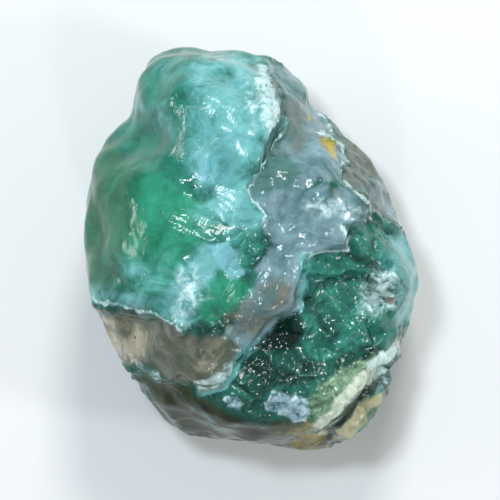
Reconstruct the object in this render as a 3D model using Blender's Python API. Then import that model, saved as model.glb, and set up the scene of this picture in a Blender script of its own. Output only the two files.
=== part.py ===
"""A rough chunk of green fluorite, broken from its vein and worn smooth.

The stone lies on a flat cleavage face, with its broad face up: +Z is up, +X is to the right and +Y is
towards the narrow end. The origin is at the middle of its box, at the level of the face that it rests on.
Lengths are in millimetres until the mesh is written, in metres.
"""

import math

import bmesh
import bpy
import numpy as np
from mathutils import Matrix, Vector, noise

MM = 0.001

# Driving dimensions
STONE_LENGTH = 70.0
STONE_WIDTH = 58.0
STONE_HEIGHT = 42.0
RIM_HEIGHT = 17.5
RIM_TILT = 1.6
RIM_HIGH_SIDE = 165.0
CUT_HEIGHT = 1.2

# How full the stone is between its rim and its crown, and between its rim and its base
PLAN_FULLNESS = 2.5
PROFILE_FULLNESS = 2.1
BELLY_DEPTH = 19.0
# Room left between the plain crown and the stone's full height, for the swellings
CROWN_ROOM = 2.5
# Height of the level that the rays of the surface spread from
HEART_HEIGHT = 13.0
# Steepness of the rays between which the broad face begins
BROAD_FACE = (0.10, 0.55)

# The mesh, and the number of directions in which its outline is trued
SPHERE_LEVEL = 8
OUTLINE_SLOTS = 180
MOST_TRIANGLES = 9600

# Fluorite breaks along four planes. One is the face that it rests on; the other three lean by this angle
# from the upright, and run 120 degrees apart.
CLEAVAGE_LEAN = math.radians(19.47)
CLEAVAGE_AZIMUTH = 43.0

# The widest outline, seen from above and anticlockwise from the right end
OUTLINE = [
    (29.0, -4.6), (28.7, -1.9), (27.3, 1.4), (25.3, 4.8), (24.2, 8.6), (22.5, 12.4),
    (19.6, 16.6), (16.6, 19.1), (13.4, 22.5), (10.4, 25.4), (9.4, 28.2), (6.6, 30.8),
    (3.6, 33.0), (0.6, 33.4), (-2.6, 34.5), (-7.0, 34.3), (-11.8, 35.0), (-16.4, 33.8),
    (-19.2, 31.0), (-20.4, 27.0), (-21.1, 23.4), (-23.8, 20.6), (-26.5, 17.2), (-28.2, 11.4),
    (-28.9, 5.0), (-29.0, -1.6), (-28.2, -7.0), (-26.2, -12.4), (-23.4, -18.0), (-20.2, -23.6),
    (-16.4, -28.6), (-11.8, -31.8), (-5.6, -33.3), (1.0, -33.7), (6.4, -35.0), (11.6, -34.7),
    (16.0, -33.2), (20.4, -29.0), (23.4, -24.4), (25.2, -18.6), (26.8, -13.6), (28.4, -9.0),
]

# Swellings and hollows of the broad face: centre, half-widths along X and Y, turn in degrees, height
SWELLINGS = [
    ("left lobe", (-13.5, 2.0), (10.5, 14.0), -12.0, 3.2),
    ("head", (-9.0, 24.5), (10.0, 8.0), 0.0, 3.6),
    ("neck", (-18.5, 18.5), (8.0, 3.6), 28.0, -2.6),
    ("pale ridge", (-1.5, 17.0), (5.5, 14.0), 12.0, 2.4),
    ("lilac back", (11.0, 9.0), (6.0, 14.0), 28.0, 2.2),
    ("right shoulder", (25.0, -7.0), (6.0, 9.0), 0.0, 1.8),
    ("smoky slab", (-11.0, -18.0), (12.0, 7.0), 20.0, 1.8),
    ("green hollow", (10.0, -15.0), (12.0, 9.0), 30.0, -1.2),
    ("foot", (-2.0, -28.0), (14.0, 5.0), 0.0, 2.2),
]

# Banded growth at the lower right: half-width, height and course of each ridge, or of each groove
RIDGES = [
    ("cream ridge", 1.9, 1.7, [(26.5, -15.5), (24.6, -17.6), (19.4, -20.6), (14.2, -26.4), (8.4, -32.0)]),
    ("dark groove", 1.5, -1.9, [(26.0, -19.0), (22.6, -20.6), (17.6, -24.8), (13.3, -31.0), (12.0, -34.5)]),
    ("outer ridge", 1.9, 1.6, [(26.0, -21.5), (22.6, -24.6), (18.4, -29.0), (15.2, -33.4)]),
    ("milky vein", 1.6, 0.9, [(-7.4, -5.0), (-9.0, -9.0), (-12.6, -13.2)]),
    ("pale crest", 2.4, 0.5, [(2.6, 31.0), (2.4, 24.0), (0.6, 17.0), (-3.4, 9.0), (-5.0, 2.0)]),
]

# Broken ledges of the broad face. The surface falls away by the given height on the left-hand side of the
# line, walking along it, and recovers over the given reach.
LEDGES = [
    ("shoulder of the pale ridge", 2.0, 11.0,
     [(2.8, 34.5), (3.6, 28.2), (4.8, 25.8), (5.1, 22.9), (4.1, 19.8), (2.3, 17.5), (2.0, 14.8),
      (-1.1, 10.8), (0.2, 8.3), (2.9, 5.4), (2.4, 2.6)]),
    ("lilac sheet", 2.0, 14.0,
     [(9.6, 30.0), (10.2, 25.6), (12.6, 22.4), (13.2, 20.2), (14.5, 18.6), (15.3, 15.2), (14.9, 11.8),
      (16.2, 10.0), (18.2, 8.4), (19.6, 6.4), (17.6, 4.4), (15.2, 2.6), (15.2, 0.6), (11.8, -0.6),
      (8.8, -2.0), (7.9, -5.3), (7.0, -9.6), (5.0, -11.6), (2.6, -13.0), (0.2, -15.9), (-3.0, -18.8),
      (-5.1, -22.2), (-9.5, -24.0), (-12.4, -21.2), (-14.6, -22.7), (-16.5, -22.5), (-17.3, -20.8),
      (-20.2, -20.1), (-22.8, -18.6), (-25.0, -17.0)]),
    ("milky rim", 1.5, 12.0,
     [(-9.6, -8.0), (-10.4, -10.6), (-10.6, -13.4), (-12.4, -14.2), (-13.9, -12.3), (-15.4, -11.6),
      (-17.3, -12.1), (-20.6, -11.1), (-22.8, -10.6), (-25.6, -10.1), (-28.5, -7.4), (-31.0, -6.0)]),
    ("teal chip", 1.2, 6.0,
     [(-1.6, 1.0), (-4.8, -2.0), (-3.0, -5.6), (-0.4, -7.8), (1.4, -6.4)]),
    ("green strip", 1.5, 9.0,
     [(21.4, -3.6), (18.2, -4.4), (15.0, -5.0), (11.4, -4.8), (7.8, -5.2)]),
]

# Flat chips struck off the broad face: where each is centred, how it leans from the surface around it along X
# and Y, its depth, and how far from its centre it starts to run out
CHIPS = [
    ("dark window", (2.0, -20.0), (0.10, 0.14), 1.2, 6.0),
    ("green pane", (14.5, -10.0), (0.06, -0.04), 0.8, 8.0),
    ("corner pane", (19.0, -14.0), (-0.06, 0.10), 0.9, 5.0),
    ("silver face", (6.5, -26.4), (0.00, -0.16), 1.0, 5.0),
    ("upper pane", (14.0, -3.0), (-0.08, 0.16), 0.8, 4.5),
    ("teal pane", (-2.0, -2.5), (0.14, -0.06), 0.9, 4.5),
    ("lilac pane", (10.5, 13.0), (-0.10, 0.04), 1.0, 8.0),
    ("rim pane", (19.0, 11.5), (0.06, 0.06), 1.5, 8.0),
    ("right pane", (23.5, -2.0), (0.04, 0.10), 1.0, 6.0),
    ("foot pane", (-7.0, -28.5), (-0.04, -0.06), 1.4, 8.0),
    ("smoky pane", (-17.0, -18.0), (-0.04, -0.04), 1.4, 8.0),
    ("crest pane", (-3.0, 12.0), (0.06, -0.04), 0.8, 7.0),
    ("head pane", (-15.0, 27.5), (-0.04, 0.08), 1.2, 6.0),
    ("brow pane", (-3.5, 27.0), (0.02, 0.06), 0.9, 6.0),
]
# Size of the spot whose lie a chip follows, and the distance over which it runs out
CHIP_SPOT = 4.0
CHIP_END = 4.0
# Rays that run flatter than this to a plane are not cut by it
GRAZING = 0.05

# Cleavage faces down the flanks: the azimuth step, whether the face leans in towards the crown (1) or the
# base (-1), and its depth
FLANKS = [
    (0, 1, 0.5), (120, 1, 0.3), (240, 1, 0.6), (180, -1, 1.3), (300, -1, 0.9), (60, -1, 1.0),
]
# Smaller chips spread over the flanks and the underside: how many, their least and greatest depth, the rise
# of the highest and of the lowest, the turn from each to the next, and how far that turn may stray
SPREAD_CHIPS = 40
SPREAD_DEPTH = (0.5, 1.7)
SPREAD_RISE = (0.25, -0.95)
GOLDEN_ANGLE = math.pi * (3.0 - math.sqrt(5.0))
TURN_STRAY = 0.3

# Octahedral cleavage all over the surface: the size of its flat-sided bumps and their height, and how far the
# planes bend
CLEAVAGES = [(12.0, 1.9), (5.5, 0.80), (2.4, 0.22)]
CLEAVAGE_BEND = 0.4
CLEAVAGE_BEND_SIZE = 5.0
# The worn lobe, where that relief fades: centre, half-widths, turn in degrees, and the share worn away
WORN_LOBE = ((-16.0, 3.0), (11.0, 15.0), -12.0)
LOBE_WEAR = 0.75

# Wander of every drawn line, so that it runs like a broken edge
EDGE_WANDER = 0.55
EDGE_WANDER_SIZE = 2.6
WALL_WIDTH = 0.8
# Length over which a ledge or a ridge runs out at each end
LEDGE_END = 3.5

# Natural unevenness: the size of the undulations and their height
UNEVENNESS = [(21.0, 1.0), (8.5, 0.30), (3.6, 0.12)]
# Shell-shaped fracture ripples: their spacing and height, the way they spread, and how far and over what
# distance they curve
RIPPLE_SPACING = 3.2
RIPPLE_HEIGHT = 0.16
RIPPLE_WAY = (0.74, -0.52, 0.42)
RIPPLE_CURVE = (3.0, 9.0)
RIPPLE_PATCH_SIZE = 12.0

# Colour of clear green fluorite
GREEN = (0.030, 0.330, 0.200, 1.0)


def noise_at(points, size, seed):
    """Smooth noise between about -1 and 1 at each point, with features of the given size."""
    shift = Vector((17.3 * seed, -9.1 * seed, 5.7 * seed))
    return np.array([noise.noise(Vector(p) / size + shift) for p in points.tolist()])


def smoothstep(value, low, high):
    share = np.clip((value - low) / (high - low), 0.0, 1.0)
    return share * share * (3.0 - 2.0 * share)


def closed_curve(points, steps=12):
    """A smooth closed line through the points, by Catmull-Rom."""
    knots = np.array(points)
    share = (np.arange(steps) / steps)[:, None]
    line = []
    for i in range(len(knots)):
        a, b, c, d = (knots[(i + k) % len(knots)] for k in (-1, 0, 1, 2))
        line.append(
            0.5 * (2 * b + (c - a) * share + (2 * a - 5 * b + 4 * c - d) * share**2
                   + (3 * b - a - 3 * c + d) * share**3)
        )
    return np.concatenate(line)


def plan_radius(azimuth):
    """Distance from the axis to the widest outline, in each direction."""
    line = closed_curve(OUTLINE)
    angles = np.arctan2(line[:, 1], line[:, 0])
    order = np.argsort(angles)
    return np.interp(azimuth, angles[order], np.hypot(line[:, 0], line[:, 1])[order], period=2 * math.pi)


def body_form(directions):
    """Turns the unit sphere into the stone's overall form: its plan outline, crown and belly."""
    azimuth = np.arctan2(directions[:, 1], directions[:, 0])
    rise = np.clip(directions[:, 2], -1.0, 1.0)
    across = np.sqrt(1.0 - rise**2) ** (2.0 / PLAN_FULLNESS) * plan_radius(azimuth)
    up = np.sign(rise) * np.abs(rise) ** (2.0 / PROFILE_FULLNESS)
    crown = STONE_HEIGHT - RIM_HEIGHT - CROWN_ROOM
    tilt = RIM_TILT * np.cos(azimuth - math.radians(RIM_HIGH_SIDE)) * np.cos(rise * math.pi / 2)
    height = RIM_HEIGHT + tilt + up * np.where(rise > 0, crown, BELLY_DEPTH)
    return np.stack([across * np.cos(azimuth), across * np.sin(azimuth), height], axis=1)


def in_ellipse(points, centre, half, turn):
    """Squared distance from the centre of a turned ellipse, 1 on its edge."""
    c, s = math.cos(math.radians(turn)), math.sin(math.radians(turn))
    x, y = points[:, 0] - centre[0], points[:, 1] - centre[1]
    return ((c * x + s * y) / half[0]) ** 2 + ((c * y - s * x) / half[1]) ** 2


class Surface:
    """The stone's surface, held as its distance along rays that spread from the heart of the stone.

    Relief only ever moves a point along its own ray, and no two rays meet, so the surface never folds.
    """

    def __init__(self, points):
        self.start = points * [0.5, 0.5, 0.0] + [0.0, 0.0, HEART_HEIGHT]
        gap = points - self.start
        self.reach = np.linalg.norm(gap, axis=1)
        self.away = gap / self.reach[:, None]
        self.upper = smoothstep(self.away[:, 2], *BROAD_FACE)

    def points(self):
        return self.start + self.reach[:, None] * self.away

    def beyond(self, place, normal):
        """How far each point lies beyond a plane, along its own ray."""
        toward = np.maximum(self.away @ normal, GRAZING)
        return np.maximum(self.reach - (place - self.start) @ normal / toward, 0.0) * (toward > GRAZING)


def swell(surface):
    points = surface.points()
    for _name, centre, half, turn, height in SWELLINGS:
        surface.reach += height * surface.upper * np.exp(-in_ellipse(points, centre, half, turn))


def wandered(points, seed):
    """The points seen from above, shifted a little, so that a drawn line breaks like an edge of stone."""
    flat = points[:, :2].copy()
    for axis in (0, 1):
        flat[:, axis] += EDGE_WANDER * noise_at(points, EDGE_WANDER_SIZE, seed + axis)
    return flat


def beside_line(flat, line):
    """Distance from a line, positive on its left, and how far along it that is from its start and its end."""
    line = np.array(line)
    best = np.full(len(flat), np.inf)
    side = np.zeros(len(flat))
    along = np.zeros(len(flat))
    walked = 0.0
    for start, end in zip(line[:-1], line[1:]):
        step = end - start
        length = np.hypot(*step)
        share = np.clip(((flat - start) @ step) / length**2, 0.0, 1.0)
        gap = flat - start - share[:, None] * step
        distance = np.hypot(gap[:, 0], gap[:, 1])
        nearer = distance < best
        best[nearer] = distance[nearer]
        side[nearer] = (step[0] * gap[:, 1] - step[1] * gap[:, 0])[nearer]
        along[nearer] = (walked + share * length)[nearer]
        walked += length
    return np.where(side > 0, best, -best), along, walked - along


def break_ledges(surface):
    """Lets the surface fall by a steep wall along each ledge, and rise again over its reach."""
    points = surface.points()
    for i, (_name, height, reach, line) in enumerate(LEDGES):
        signed, begun, left = beside_line(wandered(points, 3 + 2 * i), line)
        wall = smoothstep(signed, -WALL_WIDTH / 2, WALL_WIDTH / 2)
        ends = smoothstep(begun, 0.0, LEDGE_END) * smoothstep(left, 0.0, LEDGE_END)
        surface.reach -= height * surface.upper * wall * ends * (1.0 - smoothstep(abs(signed), 0.0, reach))


def raise_ridges(surface):
    points = surface.points()
    for i, (_name, half, height, line) in enumerate(RIDGES):
        signed, begun, left = beside_line(wandered(points, 31 + 2 * i), line)
        ends = smoothstep(begun, 0.0, LEDGE_END) * smoothstep(left, 0.0, LEDGE_END)
        surface.reach += height * surface.upper * ends * np.exp(-(signed / half) ** 2)


def strike_chips(surface):
    """Flattens small areas of the broad face, each close to the lie of the surface around it."""
    for _name, centre, lean, depth, reach in CHIPS:
        points = surface.points()
        gap = np.hypot(points[:, 0] - centre[0], points[:, 1] - centre[1])
        near = points[(gap < CHIP_SPOT) & (surface.upper > 0.0)]
        middle = near.mean(0)
        normal = np.linalg.svd(near - middle, full_matrices=False)[2][2]
        normal = normal * math.copysign(1.0, normal[2]) + [lean[0], lean[1], 0.0]
        normal /= np.linalg.norm(normal)
        highest = ((near - middle) @ normal).max()
        share = 1.0 - smoothstep(gap, reach, reach + CHIP_END)
        surface.reach -= share * surface.beyond(middle + (highest - depth) * normal, normal)


def cut_in(surface, normal, depth):
    """Cuts a flat face across one direction, as far in from the outermost point as the depth."""
    points = surface.points()
    furthest = points[(points @ normal).argmax()]
    surface.reach -= surface.beyond(furthest - depth * normal, normal)


def cleave_flanks(surface):
    """Planes the flanks back to flat faces along the stone's own cleavage."""
    for turn, way, depth in FLANKS:
        azimuth = math.radians(CLEAVAGE_AZIMUTH + turn)
        level = math.cos(CLEAVAGE_LEAN)
        rise = way * math.sin(CLEAVAGE_LEAN)
        cut_in(surface, np.array([level * math.cos(azimuth), level * math.sin(azimuth), rise]), depth)


def spread_chips(surface):
    """Chips the flanks and the underside all round, along a golden-angle spiral."""
    random = np.random.default_rng(11)
    highest, lowest = SPREAD_RISE
    for i in range(SPREAD_CHIPS):
        rise = highest + (lowest - highest) * (i + 0.5) / SPREAD_CHIPS
        azimuth = GOLDEN_ANGLE * i + random.uniform(-TURN_STRAY, TURN_STRAY)
        level = math.sqrt(1.0 - rise**2)
        normal = np.array([level * math.cos(azimuth), level * math.sin(azimuth), rise])
        cut_in(surface, normal, random.uniform(*SPREAD_DEPTH))


def crystal_axes():
    """Turns the stone's axes to its crystal's, where each cleavage plane is |x| + |y| + |z| = constant."""
    upright = Vector((1.0, 1.0, 1.0)).rotation_difference(Vector((0.0, 0.0, 1.0))).to_matrix()
    turn = Matrix.Rotation(math.radians(CLEAVAGE_AZIMUTH), 3, "Z")
    return np.array((turn @ upright).inverted())


def cleavage_relief(points, size, seed):
    """Height of bumps with flat sides that lie along the cleavage planes, between about -0.5 and 0.5."""
    shift = Vector((3.1 * seed, 7.7 * seed, -4.9 * seed))
    places = [Vector(p) + shift for p in (points @ crystal_axes().T / size).tolist()]
    nearest = [noise.voronoi(place, distance_metric="MANHATTAN")[0] for place in places]
    return 0.5 - np.array(nearest)[:, 0]


def roughen(surface):
    """Octahedral cleavage, undulations and shell-shaped ripples, as fracture and wear leave them."""
    points = surface.points()
    bend = np.stack([noise_at(points, CLEAVAGE_BEND_SIZE, 60 + i) for i in range(3)], axis=1)
    left = 1.0 - LOBE_WEAR * surface.upper * np.exp(-in_ellipse(points, *WORN_LOBE))
    for i, (size, height) in enumerate(CLEAVAGES):
        surface.reach += height * left * cleavage_relief(points + CLEAVAGE_BEND * bend, size, i + 1)
    for i, (size, height) in enumerate(UNEVENNESS):
        surface.reach += height * noise_at(points, size, 70 + i)
    far, distance = RIPPLE_CURVE
    wave = points @ np.array(RIPPLE_WAY) + far * noise_at(points, distance, 80)
    ripple = np.abs(np.sin(math.pi * wave / RIPPLE_SPACING)) - 2.0 / math.pi
    patch = smoothstep(noise_at(points, RIPPLE_PATCH_SIZE, 81), -0.1, 0.25)
    surface.reach += RIPPLE_HEIGHT * ripple * patch


def trued(points):
    """Brings the widest outline, seen from above, back to the drawn one."""
    azimuth = np.arctan2(points[:, 1], points[:, 0])
    slot = ((azimuth + math.pi) / (2 * math.pi) * OUTLINE_SLOTS).astype(int) % OUTLINE_SLOTS
    reach = np.zeros(OUTLINE_SLOTS)
    np.maximum.at(reach, slot, np.hypot(points[:, 0], points[:, 1]))
    middle = (np.arange(OUTLINE_SLOTS) + 0.5) / OUTLINE_SLOTS * 2 * math.pi - math.pi
    ratio = plan_radius(middle) / reach
    ratio = (np.roll(ratio, 1) + ratio + np.roll(ratio, -1)) / 3
    points[:, :2] *= np.interp(azimuth, middle, ratio, period=2 * math.pi)[:, None]
    return points


def sculpted_stone():
    """The whole surface, as a dense mesh in millimetres."""
    bm = bmesh.new()
    bmesh.ops.create_icosphere(bm, subdivisions=SPHERE_LEVEL, radius=1.0)
    surface = Surface(body_form(np.array([v.co.normalized()[:] for v in bm.verts])))
    swell(surface)
    cleave_flanks(surface)
    spread_chips(surface)
    strike_chips(surface)
    break_ledges(surface)
    raise_ridges(surface)
    roughen(surface)
    for vertex, place in zip(bm.verts, trued(surface.points()).tolist()):
        vertex.co = place
    mesh = bpy.data.meshes.new("fluorite_dense")
    bm.to_mesh(mesh)
    bm.free()
    return mesh


def thinned(mesh):
    """The same surface with few triangles on its flats and many along its edges."""
    dense = bpy.data.objects.new("fluorite_dense", mesh)
    bpy.context.scene.collection.objects.link(dense)
    decimate = dense.modifiers.new("thin out", "DECIMATE")
    decimate.ratio = MOST_TRIANGLES / len(mesh.polygons)
    graph = bpy.context.evaluated_depsgraph_get()
    thin = bpy.data.meshes.new_from_object(dense.evaluated_get(graph))
    bpy.data.objects.remove(dense)
    bpy.data.meshes.remove(mesh)
    return thin


def fit(mesh):
    """Brings the stone to its driving dimensions, in metres, with its box centred on the Z axis."""
    points = np.array([v.co[:] for v in mesh.vertices])
    low, high = points.min(0), points.max(0)
    low[2] = CUT_HEIGHT
    foot = np.array([(low[0] + high[0]) / 2, (low[1] + high[1]) / 2, CUT_HEIGHT])
    points = (points - foot) * [STONE_WIDTH, STONE_LENGTH, STONE_HEIGHT] / (high - low) * MM
    mesh.vertices.foreach_set("co", points.ravel())


def cut_level(mesh):
    """Cuts the underside along one flat cleavage face at z = 0, which the stone rests on."""
    bm = bmesh.new()
    bm.from_mesh(mesh)
    whole = bm.verts[:] + bm.edges[:] + bm.faces[:]
    cut = bmesh.ops.bisect_plane(bm, geom=whole, dist=1e-7, plane_no=(0, 0, 1), clear_inner=True)
    rim = [e for e in cut["geom_cut"] if isinstance(e, bmesh.types.BMEdge)]
    bmesh.ops.contextual_create(bm, geom=rim)
    bmesh.ops.recalc_face_normals(bm, faces=bm.faces[:])
    bm.to_mesh(mesh)
    bm.free()


def fluorite_material():
    material = bpy.data.materials.new("green_fluorite")
    material.use_nodes = True
    shader = material.node_tree.nodes["Principled BSDF"]
    shader.inputs["Base Color"].default_value = GREEN
    shader.inputs["Roughness"].default_value = 0.16
    shader.inputs["Metallic"].default_value = 0.0
    shader.inputs["IOR"].default_value = 1.434
    shader.inputs["Transmission Weight"].default_value = 0.4
    return material


def main():
    for old in list(bpy.data.objects):
        bpy.data.objects.remove(old)
    collection = bpy.data.collections.new("rough_fluorite_chunk")
    bpy.context.scene.collection.children.link(collection)
    mesh = thinned(sculpted_stone())
    fit(mesh)
    cut_level(mesh)
    mesh.materials.append(fluorite_material())
    stone = bpy.data.objects.new("fluorite_chunk", mesh)
    collection.objects.link(stone)


main()
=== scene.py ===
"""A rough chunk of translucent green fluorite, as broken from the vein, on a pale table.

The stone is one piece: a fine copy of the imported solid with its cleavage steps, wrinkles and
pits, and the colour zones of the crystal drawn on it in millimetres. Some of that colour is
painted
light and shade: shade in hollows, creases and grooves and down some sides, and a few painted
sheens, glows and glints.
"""

import math

import bmesh
import bpy
import numpy as np
from mathutils import Matrix, Vector, noise


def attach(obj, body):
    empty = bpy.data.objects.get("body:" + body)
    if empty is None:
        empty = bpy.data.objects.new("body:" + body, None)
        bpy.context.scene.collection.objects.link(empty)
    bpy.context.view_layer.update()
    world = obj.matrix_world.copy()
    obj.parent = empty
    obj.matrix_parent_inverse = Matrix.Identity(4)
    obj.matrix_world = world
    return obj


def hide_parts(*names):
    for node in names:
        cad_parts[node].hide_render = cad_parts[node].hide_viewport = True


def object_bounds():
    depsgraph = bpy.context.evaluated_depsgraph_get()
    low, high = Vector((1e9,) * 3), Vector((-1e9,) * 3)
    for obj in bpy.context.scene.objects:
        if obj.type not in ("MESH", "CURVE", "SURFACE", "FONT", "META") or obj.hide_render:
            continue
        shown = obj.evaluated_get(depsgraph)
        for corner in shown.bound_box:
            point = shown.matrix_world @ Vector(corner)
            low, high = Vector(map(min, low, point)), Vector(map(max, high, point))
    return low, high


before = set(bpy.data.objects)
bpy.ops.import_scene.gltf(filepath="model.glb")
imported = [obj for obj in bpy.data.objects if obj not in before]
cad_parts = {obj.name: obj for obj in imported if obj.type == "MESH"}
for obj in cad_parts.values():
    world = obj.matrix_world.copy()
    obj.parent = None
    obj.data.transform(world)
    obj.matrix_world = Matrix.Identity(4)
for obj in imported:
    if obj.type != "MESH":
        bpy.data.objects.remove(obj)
CAD_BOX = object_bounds()

bl_info = {
    "name": "Rough fluorite chunk",
    "version": (1, 0, 0),
    "blender": (4, 5, 0),
    "location": "3D View > Sidebar > Fluorite",
    "description": "Dresses the packed fluorite chunk as zoned green crystal on a pale table",
    "category": "Add Mesh",
}

MM = 0.001
STONE = "fluorite_chunk"

# Height of the stone's widest outline above the table, in millimetres.
RIM_HEIGHT = 17.5
# Direction of the fibres and splinters in plan, in degrees from the X axis.
FIBRE_ANGLE = 62.0
# Wrinkles of the worn skin: from one to the next in millimetres, and the way across them.
WRINKLE_SPACING = 1.35
WRINKLE_ACROSS = (0.55, 0.83)
# Facets of the broken faces: usual width in millimetres, and how steeply one may lean.
LARGE_FACET = (4.8, 0.42)
SMALL_FACET = (2.0, 0.30)
# Fixed numbers that draw each facet's tilt and tone from its place.
FACET_WEIGHTS = [[127.1, 269.5, 113.5, 311.7], [311.7, 183.3, 271.9, 74.7],
                 [74.7, 246.1, 124.6, 157.3]]
FACET_SCATTER = 4375.85
# How often every point is pulled level, and how often again where the skin is worn.
LEVEL_PASSES = 3
WORN_PASSES = 14
# The tallest bruise on an edge, and the fewest faces that still carry the relief.
BRUISE = 0.42
FEWEST_FACES = 10000

# What the shader's fine relief measures in millimetres: widths of the chips, then depths.
FLAT_WIDTH, CHIP_WIDTH = 1.7, 0.9
FLAT_DEPTH, CHIP_DEPTH = 0.16, 0.06
SPLINTER_DEPTH, WRINKLE_DEPTH, GRAIN_DEPTH = 0.28, 0.022, 0.006
# Painted shade: how much darker a crease's bottom is, and how much of the chips a splintered face
# loses.
PAINTED_CREASE_SHADE = -0.22
SPLINTER_LOSS = -0.75
# Clear fluorite's refraction, and how far light scatters under its cloudy skin.
FLUORITE_IOR = 1.434
SCATTER_DEPTH = 1.5 * MM

# The camera looks straight down, from where the stone's outline fills the photo's share.
CAMERA_PLACE = (-0.00043, -0.00012, 0.6175)
CAMERA_LENS = 250.0
CAMERA_SENSOR = 36.0
ROOM_COLOUR = "#EEF3F6"
ROOM_LIGHT = 0.36

# Fluorite cleaves along the four planes of an octahedron, turned here as they lie in the stone.
CLEAVAGE_LEAN = math.radians(19.47)
CLEAVAGE_AZIMUTH = math.radians(43.0)
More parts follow.
